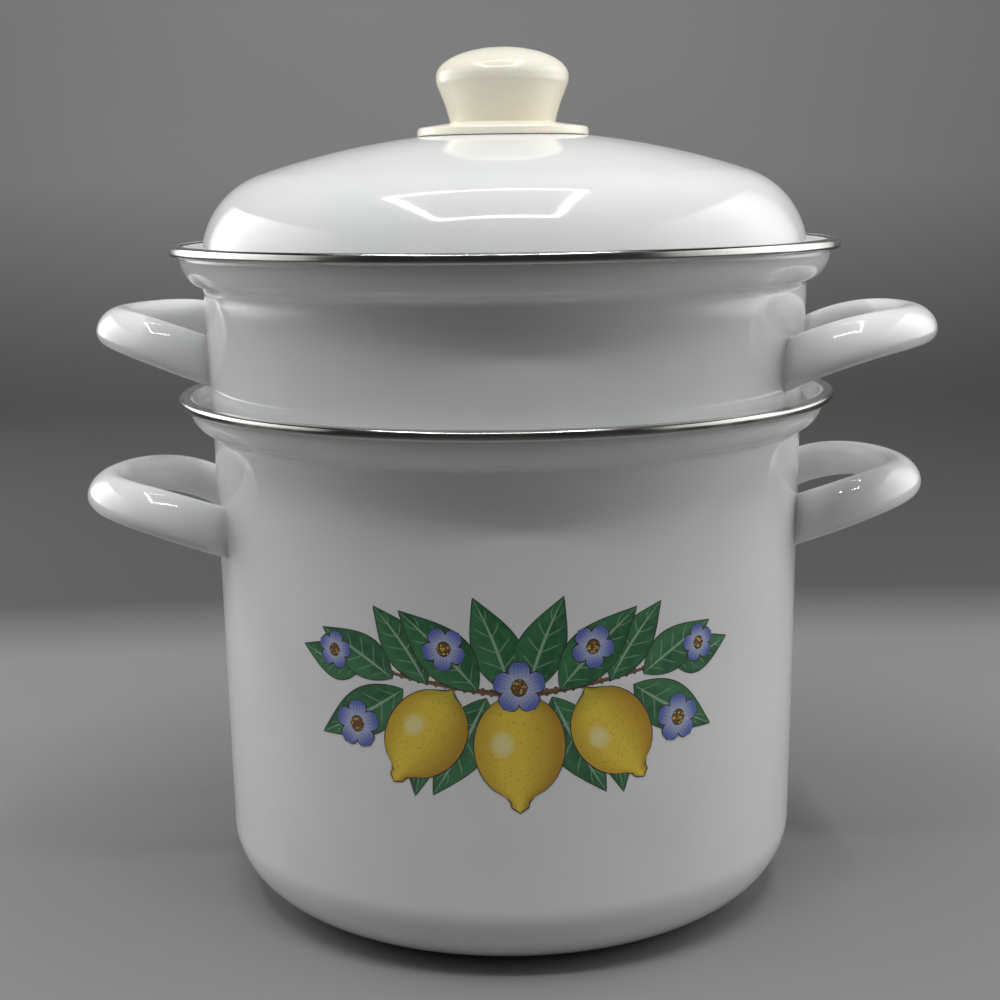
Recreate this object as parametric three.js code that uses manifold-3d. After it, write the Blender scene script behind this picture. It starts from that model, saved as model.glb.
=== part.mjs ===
// Enamelled stockpot with a nested strainer insert, a domed lid and a moulded knob.
// Millimetres, +Z up. The origin is the centre of the pot's flat foot.
import * as THREE from "three";
import { mergeVertices } from "three/addons/utils/BufferGeometryUtils.js";
import Module from "manifold-3d";

const wasm = await Module();
wasm.setup();

// Fineness of the turned and swept shapes
const roundSegments = 48;
const knobSegments = 24;
const fastenerSegments = 16;
const arcSteps = 4;
const potCornerSteps = 6;

// Driving dimensions that the pot and the insert share
const wall = 1.4;
const gap = 0.3;
const collarReach = 9;
const bandHeight = 4.2;
const bandThickness = 0.5;
const bandOverhang = 4.2;

// Pot
const potRadius = 120.2;
const potFootWallRadius = 118.2;
const potCornerReach = 34;
const potCornerHeight = 30;
const potCrease = 191.2;
const potCollarRise = 13.8;

// Insert: a wall that stands on the pot's ledge, and a narrower strainer basket below it
const insertRadius = 121.8;
const insertWallFootRadius = 120.2;
const insertCrease = 252.6;
const insertCollarRise = 12.2;
const basketTopRadius = 116.2;
const basketFootWallRadius = 114;
const basketFloor = 27;
const basketCorner = 18;
const insertTurn = THREE.MathUtils.degToRad(-13);

// Strainer holes
const holeRadius = 4;
const holeSides = 6;
const drillLength = 8 * wall;
const floorHoleRings = 3;
const floorRingSpacing = 26;
const wallHoleRows = 2;
const wallHolesPerRow = 24;
const wallRowSpacing = 24;
const lowestWallRow = 62;

// Lid: a crown and a shoulder that meet smoothly, a short wall and a brim
const lidTop = 311.9;
const lidWall = 1.2;
const lidCrownRadius = 307;
const lidShoulderRadius = 35;
const lidRadius = 122;
const lidBrimRadius = 125.2;
const lidBrimLift = 1.6;
const lidScrewHoleRadius = 2.8;

// Knob and its fixings
const knobTop = 344.9;
const knobRadius = 26.6;
const knobDome = 11.4;
const knobDomeSteps = 6;
const knobFlangeRadius = 34.7;
const knobFlangeEdge = 3.2;
const knobFlangeDraft = 0.4;
const knobRestWidth = 2.5;
// The knob's neck between its flange and its dome, as radii and depths below the top
const knobNeck = [
  [21.2, 29.6],
  [22, 26.3],
  [23.5, 21.4],
  [25.5, 16.5],
  [26.5, 13.6],
];
const bushRadius = 5;
const bushBore = 2.4;
const bushLength = 15;
const screwRadius = 2;
const screwHeadRadius = 4.6;
const screwHeadHeight = 2.6;
const washerRadius = 8;
const washerThickness = 1.2;

// Handles: an oval loop of oval bar that rises to its bow, where the bar's top leans towards the wall
const potHandleHeight = 170.7;
const insertHandleHeight = 235.6;
const handleReach = 173.2;
const loopCentre = 133.5;
const loopHalfWidth = 44.2;
const loopDrop = 5.4;
const handleRootDepth = 13;
const rootHalfBreadth = 10.3;
const bowHalfBreadth = 8.6;
const rootHalfThickness = 4;
const bowHalfThickness = 6.2;
const bowLean = THREE.MathUtils.degToRad(50);
const handleSides = 12;
const handleSteps = 18;

// Heights and radii worked out from the driving dimensions
const potFootRadius = potFootWallRadius - potCornerReach;
const stepHeight = potCrease + wall + gap;
const insertLedge = insertCrease + wall;
const brimHeight = insertLedge + lidBrimLift;
const knobSeat = crownHeight(knobFlangeRadius) + gap;
const bowReach = Math.hypot(bowHalfBreadth * Math.sin(bowLean), bowHalfThickness * Math.cos(bowLean));
const loopReach = handleReach - bowReach - loopCentre;

function crownHeight(radius, drop = 0) {
  const sphere = lidCrownRadius - drop;
  return lidTop - lidCrownRadius + Math.sqrt(sphere * sphere - radius * radius);
}

function point(radius, height) {
  return new THREE.Vector2(radius, height);
}

// Points along part of an ellipse in the half plane of a turned shape, angles in quarter turns
function arc(centreRadius, centreHeight, reach, rise, from, to, steps = arcSteps) {
  const points = [];
  for (let i = 0; i <= steps; i += 1) {
    const angle = (from + ((to - from) * i) / steps) * (Math.PI / 2);
    points.push(point(centreRadius + reach * Math.cos(angle), centreHeight + rise * Math.sin(angle)));
  }
  return points;
}

// Geometry with shared vertices and without the flat triangles that the axis leaves
function welded(geometry) {
  geometry.deleteAttribute("normal");
  geometry.deleteAttribute("uv");
  const merged = mergeVertices(geometry, 1e-4);
  const corners = merged.index.array;
  const kept = [];
  for (let i = 0; i < corners.length; i += 3) {
    const [a, b, c] = [corners[i], corners[i + 1], corners[i + 2]];
    if (a !== b && b !== c && c !== a) {
      kept.push(a, b, c);
    }
  }
  merged.setIndex(kept);
  return merged;
}

// A profile with the material on its left as it runs, turned about the Z axis
function turned(profile, segments = roundSegments) {
  return welded(new THREE.LatheGeometry(profile, segments).rotateX(Math.PI / 2));
}

function closedRing(profile, segments) {
  return turned([...profile, profile[0].clone()], segments);
}

function toSolid(geometry) {
  return new wasm.Manifold(
    new wasm.Mesh({
      numProp: 3,
      vertProperties: new Float32Array(geometry.attributes.position.array),
      triVerts: new Uint32Array(geometry.index.array),
    }),
  );
}

function toGeometry(solid) {
  const mesh = solid.getMesh();
  const geometry = new THREE.BufferGeometry();
  geometry.setAttribute("position", new THREE.BufferAttribute(new Float32Array(mesh.vertProperties), 3));
  geometry.setIndex(new THREE.BufferAttribute(new Uint32Array(mesh.triVerts), 1));
  return geometry;
}

// The flared collar and folded lip, from the crease outside to the ledge inside
function collar(radius, crease, rise) {
  const centre = crease + rise;
  const lipBottom = centre + bandThickness + gap;
  const lipTop = lipBottom + bandHeight - 2 * (bandThickness + gap);
  const lipRadius = radius + collarReach + bandOverhang - bandThickness - gap;
  return [
    ...arc(radius, centre, collarReach, rise, -1, 0),
    point(radius + collarReach, lipBottom),
    point(lipRadius, lipBottom),
    point(lipRadius, lipTop),
    point(radius + collarReach - wall, lipTop),
    ...arc(radius, centre, collarReach - wall, rise - wall, 0, -1),
  ];
}

// The steel band: a channel that wraps the lip
function rimBand(radius, crease, rise) {
  const bottom = crease + rise;
  const top = bottom + bandHeight;
  const outer = radius + collarReach + bandOverhang;
  const inner = radius + collarReach + gap;
  return closedRing([
    point(inner, bottom),
    point(outer, bottom),
    point(outer, top),
    point(inner, top),
    point(inner, top - bandThickness),
    point(outer - bandThickness, top - bandThickness),
    point(outer - bandThickness, bottom + bandThickness),
    point(inner, bottom + bandThickness),
  ]);
}

// The rounded base corner, a given depth inside its outer face
function potCorner(depth, from, to) {
  const reach = potCornerReach - depth;
  const rise = potCornerHeight - depth;
  return arc(potFootRadius, potCornerHeight, reach, rise, from, to, potCornerSteps);
}

function potShell() {
  return turned([
    point(0, 0),
    ...potCorner(0, -1, 0),
    ...collar(potRadius, potCrease, potCollarRise),
    point(potRadius - wall, potCrease),
    ...potCorner(wall, 0, -1),
    point(0, wall),
  ]);
}

function strainerHoles() {
  const holes = [];
  const drill = () => new THREE.CylinderGeometry(holeRadius, holeRadius, drillLength, holeSides);
  holes.push(drill().rotateX(Math.PI / 2).translate(0, 0, basketFloor));
  for (let ring = 1; ring <= floorHoleRings; ring += 1) {
    const count = 6 * ring;
    for (let i = 0; i < count; i += 1) {
      const hole = drill().rotateX(Math.PI / 2).translate(ring * floorRingSpacing, 0, basketFloor);
      holes.push(hole.rotateZ((2 * Math.PI * i) / count));
    }
  }
  for (let row = 0; row < wallHoleRows; row += 1) {
    for (let i = 0; i < wallHolesPerRow; i += 1) {
      const height = lowestWallRow + row * wallRowSpacing;
      const hole = drill().rotateZ(Math.PI / 2).translate(basketFootWallRadius, 0, height);
      holes.push(hole.rotateZ((2 * Math.PI * (i + row / 2)) / wallHolesPerRow));
    }
  }
  return holes;
}

function insertShell() {
  const footRadius = basketFootWallRadius - basketCorner;
  const cornerHeight = basketFloor + basketCorner;
  const blank = turned([
    point(0, basketFloor),
    ...arc(footRadius, cornerHeight, basketCorner, basketCorner, -1, 0),
    point(basketTopRadius, stepHeight),
    point(insertWallFootRadius, stepHeight),
    ...collar(insertRadius, insertCrease, insertCollarRise),
    point(insertRadius - wall, insertCrease),
    point(insertWallFootRadius - wall, stepHeight + wall),
    point(basketTopRadius - wall, stepHeight + wall),
    ...arc(footRadius, cornerHeight, basketCorner - wall, basketCorner - wall, 0, -1),
    point(0, basketFloor + wall),
  ]);
  const drills = strainerHoles().map((hole) => toSolid(welded(hole)));
  return toGeometry(drills.reduce((shell, drill) => shell.subtract(drill), toSolid(blank)));
}

// Crown and shoulder of the lid, a given depth below its outer face, from the screw hole out to the wall
function lidFace(depth) {
  const shoulderRadius = lidShoulderRadius - depth;
  const centreRadius = lidRadius - lidShoulderRadius;
  const reach = lidCrownRadius - lidShoulderRadius;
  const centreHeight = lidTop - lidCrownRadius + Math.sqrt(reach * reach - centreRadius * centreRadius);
  const meeting = 1 - Math.asin(centreRadius / reach) / (Math.PI / 2);
  const crownEdge = ((lidCrownRadius - depth) * centreRadius) / reach;
  const crown = [];
  for (let i = 0; i < arcSteps; i += 1) {
    const radius = lidScrewHoleRadius + ((crownEdge - lidScrewHoleRadius) * i) / arcSteps;
    crown.push(point(radius, crownHeight(radius, depth)));
  }
  return [...crown, ...arc(centreRadius, centreHeight, shoulderRadius, shoulderRadius, meeting, 0)];
}

function lidShell() {
  return closedRing([
    ...lidFace(lidWall),
    point(lidRadius - lidWall, brimHeight),
    point(lidBrimRadius, brimHeight),
    point(lidBrimRadius, brimHeight + lidWall),
    point(lidRadius, brimHeight + lidWall),
    ...lidFace(0).reverse(),
  ]);
}

function knob() {
  const underside = lidTop + gap;
  const bushTop = underside + bushLength + gap;
  const flangeTop = knobSeat + knobFlangeEdge;
  const domeFoot = knobTop - knobDome;
  const neck = new THREE.SplineCurve([
    ...knobNeck.map(([radius, depth]) => point(radius, knobTop - depth)),
    point(knobRadius, domeFoot),
  ]);
  const profile = [
    point(0, bushTop),
    point(bushRadius + gap, bushTop),
    point(bushRadius + gap, underside),
    point(knobFlangeRadius - 2 * knobRestWidth, underside),
    point(knobFlangeRadius - knobRestWidth, knobSeat),
    point(knobFlangeRadius, knobSeat),
    point(knobFlangeRadius - knobFlangeDraft, flangeTop),
    ...neck.getPoints(2 * knobNeck.length),
    ...arc(0, domeFoot, knobRadius, knobDome, 0, 1, knobDomeSteps).slice(1),
  ];
  return turned(profile, knobSegments);
}

function threadBush() {
  const bottom = lidTop + gap;
  const top = bottom + bushLength;
  const section = [
    point(bushBore, bottom),
    point(bushRadius, bottom),
    point(bushRadius, top),
    point(bushBore, top),
  ];
  return closedRing(section, fastenerSegments);
}

function washer() {
  const top = crownHeight(washerRadius, lidWall) - gap;
  const bottom = top - washerThickness;
  const section = [
    point(bushBore, bottom),
    point(washerRadius, bottom),
    point(washerRadius, top),
    point(bushBore, top),
  ];
  return closedRing(section, fastenerSegments);
}

function screw() {
  const seat = crownHeight(washerRadius, lidWall) - washerThickness - 2 * gap;
  const profile = [
    point(0, seat - screwHeadHeight),
    point(screwHeadRadius, seat - screwHeadHeight),
    point(screwHeadRadius, seat),
    point(screwRadius, seat),
    point(screwRadius, lidTop + bushLength - gap),
    point(0, lidTop + bushLength - gap),
  ];
  return turned(profile, fastenerSegments);
}

// A place on the loop's centre line, at an angle from the bow, and the line's direction there
function loopPlace(angle, bowHeight) {
  const back = 1 - Math.cos(angle);
  return new THREE.Vector3(
    loopCentre + loopReach * Math.cos(angle),
    loopHalfWidth * Math.sin(angle),
    bowHeight - loopDrop * back * back,
  );
}

function loopDirection(angle) {
  const back = 1 - Math.cos(angle);
  return new THREE.Vector3(
    -loopReach * Math.sin(angle),
    loopHalfWidth * Math.cos(angle),
    -2 * loopDrop * back * Math.sin(angle),
  ).normalize();
}

// A straight bar bent along the loop, from one root inside the wall, round the bow, to the other
function handleBar(bowHeight, wallRadius) {
  const bar = new THREE.CylinderGeometry(1, 1, 1, handleSides, handleSteps);
  const rootAngle = Math.acos((wallRadius - handleRootDepth - loopCentre) / loopReach);
  const corners = bar.attributes.position;
  const up = new THREE.Vector3(0, 0, 1);
  for (let i = 0; i < corners.count; i += 1) {
    const angle = 2 * rootAngle * corners.getY(i);
    const tangent = loopDirection(angle);
    const across = new THREE.Vector3().crossVectors(tangent, up).normalize();
    const upward = new THREE.Vector3().crossVectors(across, tangent);
    const bowShare = (1 + Math.cos(angle)) / 2;
    const thickness = corners.getX(i) * THREE.MathUtils.lerp(rootHalfThickness, bowHalfThickness, bowShare);
    const breadth = corners.getZ(i) * THREE.MathUtils.lerp(rootHalfBreadth, bowHalfBreadth, bowShare);
    const lean = bowLean * bowShare;
    const place = loopPlace(angle, bowHeight)
      .addScaledVector(across, thickness * Math.cos(lean) - breadth * Math.sin(lean))
      .addScaledVector(upward, thickness * Math.sin(lean) + breadth * Math.cos(lean));
    corners.setXYZ(i, place.x, place.y, place.z);
  }
  return welded(bar);
}

// The bar with its roots cut to the wall, which widens from one height to another
function handle(bowHeight, low, high) {
  const slope = (high.x - low.x) / (high.y - low.y);
  const bottom = bowHeight - 4 * rootHalfBreadth;
  const top = bowHeight + 4 * rootHalfBreadth;
  const radiusAt = (height) => low.x + slope * (height - low.y) + gap;
  const wallSolid = turned([
    point(0, bottom),
    point(radiusAt(bottom), bottom),
    point(radiusAt(top), top),
    point(0, top),
  ]);
  const bar = toSolid(handleBar(bowHeight, radiusAt(bowHeight)));
  return toGeometry(bar.subtract(toSolid(wallSolid)));
}

const enamel = { color: 0xf1f2f0, roughness: 0.12, metalness: 0 };
const steel = { color: 0xb4b3ae, roughness: 0.3, metalness: 1 };
const creamPlastic = { color: 0xece3c8, roughness: 0.22, metalness: 0 };
const brass = { color: 0xb08d4a, roughness: 0.35, metalness: 1 };

function piece(name, geometry, finish) {
  const mesh = new THREE.Mesh(geometry, new THREE.MeshStandardMaterial(finish));
  mesh.name = name;
  return mesh;
}

// A pair of handles, the left one turned half way round
function handlePair(owner, geometry) {
  const right = piece(`${owner}_handle_right`, geometry, enamel);
  const left = piece(`${owner}_handle_left`, geometry.clone(), enamel);
  left.rotation.z = Math.PI;
  return [left, right];
}

const potHandle = handle(
  potHandleHeight,
  point(potFootWallRadius, potCornerHeight),
  point(potRadius, potCrease),
);
const insertHandle = handle(
  insertHandleHeight,
  point(insertWallFootRadius, stepHeight),
  point(insertRadius, insertCrease),
);

const pot = new THREE.Group();
pot.add(piece("pot_shell", potShell(), enamel));
pot.add(piece("pot_rim_band", rimBand(potRadius, potCrease, potCollarRise), steel));
pot.add(...handlePair("pot", potHandle));

const lid = new THREE.Group();
lid.add(piece("lid_shell", lidShell(), enamel));
lid.add(piece("lid_knob", knob(), creamPlastic));
lid.add(piece("knob_thread_insert", threadBush(), brass));
lid.add(piece("knob_washer", washer(), steel));
lid.add(piece("knob_screw", screw(), steel));

const insert = new THREE.Group();
insert.add(piece("insert_shell", insertShell(), enamel));
insert.add(piece("insert_rim_band", rimBand(insertRadius, insertCrease, insertCollarRise), steel));
insert.add(...handlePair("insert", insertHandle));
insert.add(lid);
insert.rotation.z = insertTurn;

const stockpot = new THREE.Group();
stockpot.add(pot, insert);

export default stockpot;
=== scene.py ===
"""Looks of an enamelled stockpot with a strainer insert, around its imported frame, in millimetres."""
import math

import bmesh
import bpy
from mathutils import Matrix, Vector


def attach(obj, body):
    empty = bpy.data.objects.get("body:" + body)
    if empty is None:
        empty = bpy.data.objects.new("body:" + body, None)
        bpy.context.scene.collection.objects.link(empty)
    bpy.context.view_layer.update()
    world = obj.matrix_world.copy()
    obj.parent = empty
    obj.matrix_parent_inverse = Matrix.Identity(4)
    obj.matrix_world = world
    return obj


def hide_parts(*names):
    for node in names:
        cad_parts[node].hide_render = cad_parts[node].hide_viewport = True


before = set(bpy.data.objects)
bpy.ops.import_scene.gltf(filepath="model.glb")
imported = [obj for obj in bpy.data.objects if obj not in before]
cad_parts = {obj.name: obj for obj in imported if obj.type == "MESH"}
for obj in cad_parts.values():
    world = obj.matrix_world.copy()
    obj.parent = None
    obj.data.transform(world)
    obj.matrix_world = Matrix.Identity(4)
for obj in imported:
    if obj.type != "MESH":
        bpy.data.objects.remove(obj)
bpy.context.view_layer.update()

MM = 0.001

# Sizes that the pot and the insert share
WALL = 1.4
GAP = 0.3
COLLAR_REACH = 9
CREASE_BEND = 2.6
BAND_HEIGHT = 4.2
BAND_THICKNESS = 0.5
BAND_OVERHANG = 4.2
BAND_EDGE = 1.7
BAND_UNEVENNESS = 0.1

# Pot
POT_RADIUS = 120.2
POT_FOOT_WALL_RADIUS = 118.2
POT_CORNER_REACH = 34
POT_CORNER_HEIGHT = 30
POT_CREASE = 194.8
POT_COLLAR_RISE = 10.2

# Insert
INSERT_RADIUS = 121.8
INSERT_WALL_FOOT_RADIUS = 120.2
INSERT_CREASE = 252.6
INSERT_COLLAR_RISE = 12.2
BASKET_TOP_RADIUS = 116.2
BASKET_FOOT_WALL_RADIUS = 114
BASKET_FLOOR = 27
BASKET_CORNER = 18
INSERT_TURN = math.radians(-13)
STEP_HEIGHT = POT_CREASE + WALL + GAP
STEP_ROUNDING = 1.2
STEP_ROUNDING_INSIDE = 1.6

# Strainer holes, with how much wider they are at distances from the wall's middle. Each ring in the floor has
# six holes more than the one inside it.
HOLE_RADIUS = 4
HOLE_FLARE = [(0.3, 0), (0.62, 0.5), (3, 1.6)]
HOLES_PER_RING = 6
FLOOR_RINGS = 3
FLOOR_RING_SPACING = 26
WALL_ROWS = 2
HOLES_PER_ROW = 24
WALL_ROW_SPACING = 24
LOWEST_WALL_ROW = 62

# Lid
LID_TOP = 311.9
LID_WALL = 1.2
LID_CROWN_RADIUS = 307
LID_SHOULDER_RADIUS = 35
LID_RADIUS = 122
LID_BRIM_RADIUS = 125.2
LID_SEAT_CLEARANCE = 1.6
LID_BRIM_HEIGHT = INSERT_CREASE + WALL + LID_SEAT_CLEARANCE
LID_BRIM_ROUNDING = 1
LID_SCREW_HOLE_RADIUS = 2.8

# Knob, with its neck between flange and dome as radii and depths below the top
KNOB_TOP = 344.9
KNOB_RADIUS = 26.6
KNOB_DOME = 11.4
KNOB_FLANGE_RADIUS = 34.7
KNOB_FLANGE_EDGE = 3.2
KNOB_FLANGE_TAPER = 0.4
KNOB_FLANGE_ROUNDING = 0.9
KNOB_REST_WIDTH = 2.5
KNOB_NECK = [(21.2, 29.6), (22, 26.3), (23.5, 21.4), (25.5, 16.5), (26.5, 13.6)]
BUSH_RADIUS = 5
BUSH_LENGTH = 15
SCREW_HEAD_RADIUS = 4.6
SCREW_HEAD_HEIGHT = 2.6
SCREW_HEAD_ROUND_WIDTH = 1.8
SCREW_HEAD_ROUND_HEIGHT = 1.7
SCREW_RADIUS = 2
RECESS_LENGTH = 5.2
RECESS_WIDTH = 1
RECESS_DEPTH = 1.2
WASHER_RADIUS = 8
WASHER_BORE = 2.4
WASHER_THICKNESS = 1.2
WASHER_EDGE = 0.25

# Handles: part of an oval loop, measured by the angle from its bow, where the bar's top leans to the wall
POT_HANDLE_HEIGHT = 170.7
INSERT_HANDLE_HEIGHT = 235.6
HANDLE_REACH = 172.9
LOOP_CENTRE = 133.5
LOOP_HALF_WIDTH = 44.2
LOOP_DROP = 5.4
HANDLE_ROOT_DEPTH = 13
ROOT_HALF_BREADTH = 10.3
BOW_HALF_BREADTH = 8.6
ROOT_HALF_THICKNESS = 4
BOW_HALF_THICKNESS = 6.2
BOW_LEAN = math.radians(50)
BOW_REACH = math.hypot(BOW_HALF_BREADTH * math.sin(BOW_LEAN), BOW_HALF_THICKNESS * math.cos(BOW_LEAN))
LOOP_REACH = HANDLE_REACH - BOW_REACH - LOOP_CENTRE
ROOT_FILLET = 0.8

# Printed motif, laid out from its centre on the pot's front, with its blossoms as middle, radius and turn
PRINT_HEIGHT = 107
PRINT_SHIFT = -3
PRINT_LAYER = 0.016
PRINT_BURIED = 0.2
PRINT_TIP = 0.02
INK_WIDTH = 0.42
BLOSSOMS = [((0, 8), 9.5, 90), ((27, 22), 8, 60), ((62, -9), 9, 20), ((71, 18), 7, 100)]
PETALS = 5
PETAL_HALF_WIDTH = 0.44
EYE_SHARE = 0.3
GLAZE_IOR = 1.52

# Camera, as fitted to the rims, the base and the wall of the photographed pot
CAMERA_DISTANCE = 700
CAMERA_SIDE = -3.1
CAMERA_HEIGHT = 292.2
CAMERA_PITCH = math.radians(10.64)
CAMERA_TURN = math.radians(-2.8)
CAMERA_ROLL = math.radians(-0.75)
FOCAL_SHARE = 1.6965
SENSOR_WIDTH = 36

# Light: the overhead frame's strips and the key light as centre, width, depth and power, and the side panels
# as distance to the side, distance back, top and power. The front strip is only seen in the glaze. The key
# light does its work from further back, where the shadows under the rims come out as long as photographed.
FRAME_HEIGHT = 1500
FRONT_STRIP = (-120, -819, 960, 37, 6.6)
OTHER_STRIPS = [
    (-100, 99, 960, 37, 1.6),
    (-580, -360, 37, 880, 5.4),
    (355, -360, 37, 880, 5),
]
KEY_LIGHT = (-40, -620, 960, 60, 8)
PANELS = [(-900, 440, 800, 7.8), (900, 20, 1000, 7.2)]
PANEL_FOOT = 160
PANEL_WIDTH = 2000
PANEL_PEAK = 0.6
BACKDROP_LIGHT = (0, 1300, 1700)
BACKDROP_TARGET = (0, 2400, 900)
BACKDROP_LIGHT_WIDTH = 3200
BACKDROP_LIGHT_HEIGHT = 500
BACKDROP_POWER = 23
ROOM_GREY = 0.03

# Stage: a grey sheet with a painted pool of light in an oval round the object, painted shade beyond it, and
# painted light again above a height in metres. The pool fades out between two values of nearness, which is
# one metre less the distance.
SHEET_GREYS = (0.225, 0.245)
SHEET_FRONT = -2600
SHEET_DEPTH = 1500
SHEET_CURVE = 900
SHEET_HEIGHT = 3200
SHEET_HALF_WIDTH = 4000
PAINTED_FAR_SHADE = 0.38
LIGHT_POOL_SQUEEZE = 0.33
LIGHT_POOL_FADE = (0.5, 0.64)
PAINTED_LIGHT_HEIGHT = 0.3

# Fineness of the meshes
SHARP_ANGLE = math.radians(38)
ROUND_SEGMENTS = 256
KNOB_SEGMENTS = 128
FIXING_SEGMENTS = 64
HOLE_SEGMENTS = 32
ARC_STEPS = 14
HANDLE_SIDES = 48
HANDLE_STEPS = 72


# Outlines in the half plane of a turned shape

def arc(centre_r, centre_z, reach, rise, start, end, steps=ARC_STEPS):
    """Points along part of an ellipse, with angles in quarter turns."""
    points = []
    for i in range(steps + 1):
        angle = (start + (end - start) * i / steps) * math.pi / 2
        points.append((centre_r + reach * math.cos(angle), centre_z + rise * math.sin(angle)))
    return points


def bend(before, corner, after, steps=8):
    """A smooth turn from one point to another that leans towards the corner between them."""
    points = []
    for i in range(steps + 1):
        t = i / steps
        weights = ((1 - t) ** 2, 2 * t * (1 - t), t ** 2)
        points.append(tuple(sum(w * p[k] for w, p in zip(weights, (before, corner, after))) for k in (0, 1)))
    return points


def towards(start, end, distance):
    """The point a given distance along the line from one point to another."""
    length = math.dist(start, end)
    return tuple(a + (b - a) * distance / length for a, b in zip(start, end))


def rounded(points, radius):
    """An open outline with each inner corner rounded, as far as its neighbours leave room."""
    path = [points[0]]
    for before, corner, after in zip(points, points[1:], points[2:]):
        reach = min(radius, 0.45 * math.dist(before, corner), 0.45 * math.dist(corner, after))
        path += bend(towards(corner, before, reach), corner, towards(corner, after, reach))
    return path + [points[-1]]


def spline(points, steps=10):
    """A smooth line through the points."""
    ends = [points[0], *points, points[-1]]
    path = []
    for a, b, c, d in zip(ends, ends[1:], ends[2:], ends[3:]):
        for i in range(steps):
            t = i / steps
            weights = (
                -0.5 * t + t ** 2 - 0.5 * t ** 3,
                1 - 2.5 * t ** 2 + 1.5 * t ** 3,
                0.5 * t + 2 * t ** 2 - 1.5 * t ** 3,
                -0.5 * t ** 2 + 0.5 * t ** 3,
            )
            path.append(tuple(sum(w * p[k] for w, p in zip(weights, (a, b, c, d))) for k in (0, 1)))
    return path + [points[-1]]


# Mesh building

def make_object(name, mesh_data, material):
    """An object from a bmesh, in metres, with smooth faces and crisp edges."""
    mesh = bpy.data.meshes.new(name)
    bmesh.ops.recalc_face_normals(mesh_data, faces=mesh_data.faces)
    bmesh.ops.scale(mesh_data, vec=(MM, MM, MM), verts=mesh_data.verts)
    mesh_data.to_mesh(mesh)
    mesh_data.free()
    mesh.polygons.foreach_set("use_smooth", [True] * len(mesh.polygons))
    mesh.set_sharp_from_angle(angle=SHARP_ANGLE)
    mesh.materials.append(material)
    piece = bpy.data.objects.new(name, mesh)
    bpy.context.scene.collection.objects.link(piece)
    return piece


def join_rings(data, rings, closed):
    """Faces between neighbouring rings, where a ring of one vertex is a point on the axis."""
    pairs = list(zip(rings, rings[1:]))
    if closed:
        pairs.append((rings[-1], rings[0]))
    for low, high in pairs:
        count = max(len(low), len(high))
        for i in range(count):
            j = (i + 1) % count
            corners = [low[i % len(low)], low[j % len(low)], high[j % len(high)], high[i % len(high)]]
            data.faces.new(list(dict.fromkeys(corners)))


def turned(outline, segments=ROUND_SEGMENTS, closed=False, wobble=None):
    """A bmesh of an outline turned about the Z axis, its radius changed a little by wobble(angle)."""
    data = bmesh.new()
    rings = []
    for radius, height in outline:
        if radius < 1e-6:
            rings.append([data.verts.new((0, 0, height))])
            continue
        ring = []
        for i in range(segments):
            angle = 2 * math.pi * i / segments
            r = radius + (wobble(angle) if wobble else 0)
            ring.append(data.verts.new((r * math.cos(angle), r * math.sin(angle), height)))
        rings.append(ring)
    join_rings(data, rings, closed)
    return data


def finish_piece(piece, body, slot, *nodes):
    """Says which body carries the piece and which nodes it stands for; the slot, its finish, is not used."""
    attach(piece, body)
    if nodes:
        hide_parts(*nodes)


# Node materials

def new_material(name):
    material = bpy.data.materials.new(name)
    material.use_nodes = True
    tree = material.node_tree
    return material, tree, tree.nodes["Principled BSDF"]


def feed(tree, socket, value):
    """Links a socket, or sets a plain number or colour on it."""
    if isinstance(value, bpy.types.NodeSocket):
        tree.links.new(value, socket)
    else:
        socket.default_value = value


def add(tree, kind, **inputs):
    """A node with its inputs fed by name, an underscore standing for a space."""
    node = tree.nodes.new(kind)
    for name, value in inputs.items():
        feed(tree, node.inputs[name.replace("_", " ")], value)
    return node


def calculate(tree, operation, a, b=0.0):
    node = tree.nodes.new("ShaderNodeMath")
    node.operation = operation
    feed(tree, node.inputs[0], a)
    feed(tree, node.inputs[1], b)
    return node.outputs[0]


def rescale(tree, value, low, high, out_low=0.0, out_high=1.0):
    node = add(tree, "ShaderNodeMapRange", Value=value)
    for name, number in (("From Min", low), ("From Max", high), ("To Min", out_low), ("To Max", out_high)):
        node.inputs[name].default_value = number
    return node.outputs[0]


def blend_colours(tree, share, first, second):
    node = tree.nodes.new("ShaderNodeMix")
    node.data_type = "RGBA"
    feed(tree, node.inputs[0], share)
    feed(tree, node.inputs[6], first)
    feed(tree, node.inputs[7], second)
    return node.outputs[2]


def place(tree):
    return tree.nodes.new("ShaderNodeTexCoord").outputs["Object"]


def noise(tree, scale, detail, vector=None):
    node = add(tree, "ShaderNodeTexNoise", Scale=scale, Detail=detail, Vector=vector or place(tree))
    return node.outputs["Fac"]


def bumps(tree, shader, *layers):
    """Stacks height layers, each a socket and its depth in millimetres, into the shader's normal."""
    normal = None
    for height, depth in layers:
        bump = add(tree, "ShaderNodeBump", Height=height, Distance=depth * MM)
        if normal:
            tree.links.new(normal, bump.inputs["Normal"])
        normal = bump.outputs[0]
    tree.links.new(normal, shader.inputs["Normal"])


def grey(level):
    return (level, level, level, 1)


def set_colour(tree, shader, share, first, second):
    """Gives the shader a blend of two colours."""
    feed(tree, shader.inputs["Base Color"], blend_colours(tree, share, first, second))


def set_roughness(tree, shader, value, low, high):
    """Spreads the middle range of a noise between two roughnesses."""
    feed(tree, shader.inputs["Roughness"], rescale(tree, value, 0.3, 0.7, low, high))


def drawn_out(tree, across, along):
    """Places for a noise of fine lines round the Z axis."""
    node = add(tree, "ShaderNodeMapping", Vector=place(tree))
    node.inputs["Scale"].default_value = (across, across, along)
    return node.outputs[0]


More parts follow.
